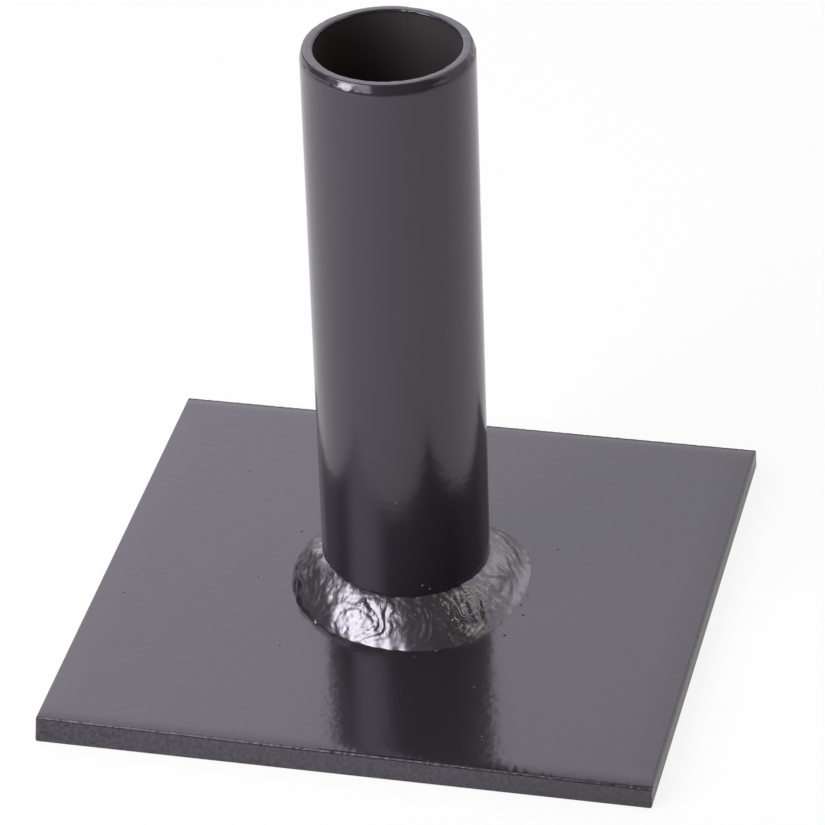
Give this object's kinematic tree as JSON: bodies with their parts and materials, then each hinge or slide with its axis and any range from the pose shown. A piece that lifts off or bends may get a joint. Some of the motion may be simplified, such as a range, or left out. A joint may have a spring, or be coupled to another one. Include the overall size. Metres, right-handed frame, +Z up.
{
  "type": "scaffold base plate",
  "caption": "Square steel foot plate with an open upright spigot tube welded to its middle; a scaffold tube slides over the spigot and the plate spreads its load.",
  "frame": {"origin": "centre of the plate's underside", "axes": "+Z up along the spigot tube, +X across the flat bar between its rolled edges, +Y along the bar between its sheared ends"},
  "size_m": [0.15, 0.15, 0.156],
  "materials": {
    "charcoal_paint": "semi-gloss charcoal paint on steel",
    "weld_paint": "the same paint, glossy over the rippled weld"
  },
  "bodies": {
    "root": {"base_plate": "charcoal_paint", "spigot_tube": "charcoal_paint", "weld_bead": "weld_paint"}
  },
  "joints": []
}
